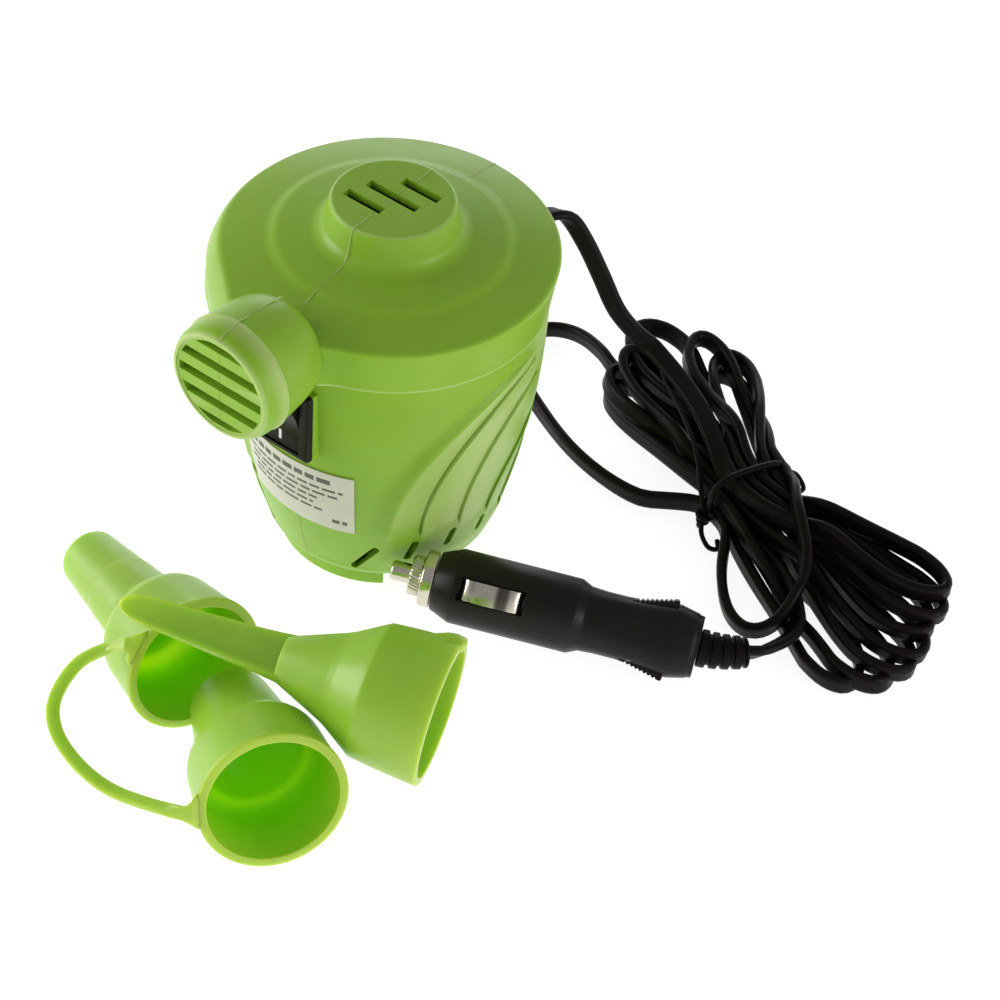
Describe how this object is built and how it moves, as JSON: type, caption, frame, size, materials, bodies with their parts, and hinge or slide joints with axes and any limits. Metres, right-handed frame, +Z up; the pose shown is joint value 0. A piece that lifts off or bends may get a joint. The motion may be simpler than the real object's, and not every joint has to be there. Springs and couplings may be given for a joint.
{
  "type": "electric air mattress pump",
  "caption": "Upright round blower for inflating airbeds, with side nozzle, rocker switch, flat coiled lead with vehicle plug, and push-on nozzle adapters.",
  "frame": {"origin": "centre of the round base, on the surface the pump stands on", "axes": "+Z up along the fan shaft, -Y out of the air nozzle, X across the seam between the two casing halves"},
  "size_m": [0.2018, 0.2523, 0.1155],
  "materials": {
    "case_green": "satin moulded",
    "soft_lime": "translucent, soft, glossy",
    "black_plastic": "satin moulded",
    "black_pvc": "matt flexible",
    "nickel": "bright nickel",
    "steel": "plain",
    "brass": "plain",
    "ferrite": "dull sintered",
    "copper": "enamelled copper wire",
    "laminations": "stacked plates",
    "fuse_glass": "clear tube",
    "white_paper": "printed sticker, left blank",
    "red_pvc": "wire insulation"
  },
  "bodies": {
    "pump": {"bush_bottom": "brass", "bush_top": "brass", "cable_tie": "black_pvc", "case_left": "case_green", "case_right": "case_green", "case_screw_1": "steel", "case_screw_2": "steel", "case_screw_3": "steel", "case_screw_4": "steel", "cord_curl": "black_pvc", "cord_grommet": "black_pvc", "cord_hank": "black_pvc", "cord_lead": "black_pvc", "cord_loop": "black_pvc", "cord_tail": "black_pvc", "fan_plate": "black_plastic", "foot_pad": "black_pvc", "label": "white_paper", "magnet_left": "ferrite", "magnet_right": "ferrite", "motor_can": "steel", "motor_end_cap": "black_plastic", "motor_screw_1": "steel", "motor_screw_2": "steel", "motor_support": "black_plastic", "motor_terminal_1": "brass", "motor_terminal_2": "brass", "plug_collar": "nickel", "plug_half_back": "black_plastic", "plug_half_front": "black_plastic", "plug_nut": "nickel", "plug_relief": "black_pvc", "plug_screw": "steel", "switch_body": "black_plastic", "switch_terminal_1": "brass", "switch_terminal_2": "brass", "wire_motor": "red_pvc", "wire_return": "black_pvc", "wire_supply": "red_pvc"},
    "rotor": {"motor_shaft": "steel", "armature": "laminations", "winding_low": "copper", "winding_high": "copper", "commutator": "brass", "impeller": "black_plastic"},
    "rocker": {"switch_rocker": "black_plastic"},
    "plug_core": {"plug_tip": "nickel", "plug_fuse": "fuse_glass", "plug_spring": "steel"},
    "leaf_front": {"contact_front": "nickel"},
    "leaf_back": {"contact_back": "nickel"},
    "tied_adapters": {"adapter_long": "soft_lime", "adapter_wide": "soft_lime", "adapter_strap": "soft_lime"},
    "loose_adapter": {"adapter_pinch": "soft_lime"}
  },
  "joints": [
    {"name": "fan_spin", "type": "hinge", "parent": "pump", "child": "rotor", "pos_m": [0, 0, 0.05], "axis": [0, 0, 1], "continuous": true},
    {"name": "switch_rock", "type": "hinge", "parent": "pump", "child": "rocker", "pos_m": [0, -0.04355, 0.069], "axis": [1, 0, 0], "range_deg": [-24, 0]},
    {"name": "tip_press", "type": "slide", "parent": "pump", "child": "plug_core", "axis": [0.9021, 0.425, -0.0742], "range_m": [0, 0.002], "stiffness_N_per_m": 1500, "springref_m": -0.001},
    {"name": "leaf_press_front", "type": "slide", "parent": "pump", "child": "leaf_front", "axis": [-0.3532, 0.6288, -0.6927], "range_m": [0, 0.0006], "stiffness_N_per_m": 3000, "springref_m": -0.0003},
    {"name": "leaf_press_back", "type": "slide", "parent": "pump", "child": "leaf_back", "axis": [0.3532, -0.6288, 0.6927], "range_m": [0, 0.0006], "stiffness_N_per_m": 3000, "springref_m": -0.0003},
    {"name": "adapters_away", "type": "slide", "parent": "pump", "child": "tied_adapters", "axis": [-0.8771, -0.4802, 0], "range_m": [0, 0.06]},
    {"name": "adapter_lift", "type": "slide", "parent": "pump", "child": "loose_adapter", "axis": [0, 0, 1], "range_m": [0, 0.05]}
  ]
}
